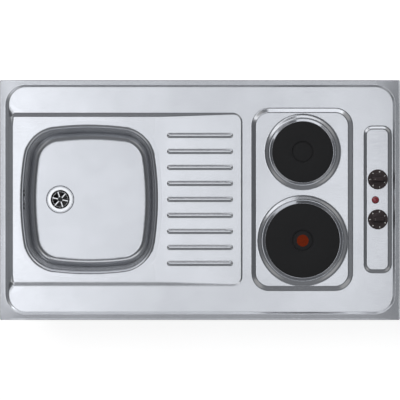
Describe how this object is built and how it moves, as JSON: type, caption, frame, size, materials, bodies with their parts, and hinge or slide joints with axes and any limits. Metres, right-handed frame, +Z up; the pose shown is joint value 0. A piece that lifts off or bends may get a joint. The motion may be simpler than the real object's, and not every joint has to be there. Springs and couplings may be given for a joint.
{
  "type": "sink and stove unit",
  "caption": "Stainless lay-on kitchen worktop with a drawn sink bowl, ribbed drainer, electric hotplates and turning control knobs, pressed from a sheet with a folded edge.",
  "frame": {"origin": "middle of the plan, on the plane where the folded edge of the worktop rests on its cabinet", "axes": "+X along the length from the bowl to the controls, +Y to the wall behind, +Z up"},
  "size_m": [1, 0.6, 0.2448],
  "materials": {
    "stainless": "fine satin",
    "cast_iron": "matt, fine turned",
    "red_enamel": "satin",
    "black_plastic": "satin moulded",
    "grey_moulding": "moulded",
    "white_plastic": "smooth moulded",
    "rubber": "matt",
    "bitumen": "matt, grainy",
    "softwood": "sawn",
    "zinc_steel": "zinc plated",
    "ceramic": "unglazed ceramic",
    "brass": "plain",
    "lead_sleeve": "woven glass sleeve, matt",
    "red_lens": "clear gloss",
    "lamp_black": "gloss",
    "neon_glass": "clear"
  },
  "bodies": {
    "unit": {"worktop_sheet": "stainless", "sink_bowl": "stainless", "waste_flange": "stainless", "waste_screw": "stainless", "overflow_screw": "stainless", "rear_trim_ring": "stainless", "front_trim_ring": "stainless", "rear_hotplate": "cast_iron", "front_hotplate": "cast_iron", "front_red_dot": "red_enamel", "waste_body": "black_plastic", "overflow_head": "black_plastic", "rear_switch_body": "grey_moulding", "front_switch_body": "grey_moulding", "supply_block": "grey_moulding", "supply_gland": "grey_moulding", "gland_nut": "grey_moulding", "overflow_pipe": "white_plastic", "waste_upper_seal": "rubber", "waste_lower_seal": "rubber", "overflow_seal": "rubber", "bowl_sound_pad": "bitumen", "front_batten": "softwood", "rear_batten": "softwood", "left_batten": "softwood", "right_batten": "softwood", "fixing_straps": "zinc_steel", "strap_screws": "zinc_steel", "rear_clamp_bridge": "zinc_steel", "front_clamp_bridge": "zinc_steel", "centre_studs": "zinc_steel", "clamp_nuts": "zinc_steel", "switch_bracket": "zinc_steel", "switch_screws": "zinc_steel", "tray_studs": "zinc_steel", "tray_nuts": "zinc_steel", "electrics_tray": "zinc_steel", "rear_base_pan": "zinc_steel", "front_base_pan": "zinc_steel", "lamp_nut": "zinc_steel", "block_screws": "zinc_steel", "rear_heating_core": "ceramic", "front_heating_core": "ceramic", "rear_plate_terminal": "ceramic", "front_plate_terminal": "ceramic", "plate_pins": "brass", "switch_contacts": "brass", "rear_plate_leads": "lead_sleeve", "front_plate_leads": "lead_sleeve", "supply_leads": "lead_sleeve", "lamp_lens": "red_lens", "lamp_holder": "lamp_black", "lamp_bulb": "neon_glass"},
    "rear_control": {"rear_knob": "black_plastic", "rear_spindle": "zinc_steel", "rear_cam": "grey_moulding"},
    "front_control": {"front_knob": "black_plastic", "front_spindle": "zinc_steel", "front_cam": "grey_moulding"}
  },
  "joints": [
    {"name": "rear_knob_turn", "type": "hinge", "parent": "unit", "child": "rear_control", "pos_m": [0.4445, 0.0515, 0.04], "axis": [0, 0, 1], "continuous": true},
    {"name": "front_knob_turn", "type": "hinge", "parent": "unit", "child": "front_control", "pos_m": [0.4445, -0.0485, 0.04], "axis": [0, 0, 1], "continuous": true}
  ]
}
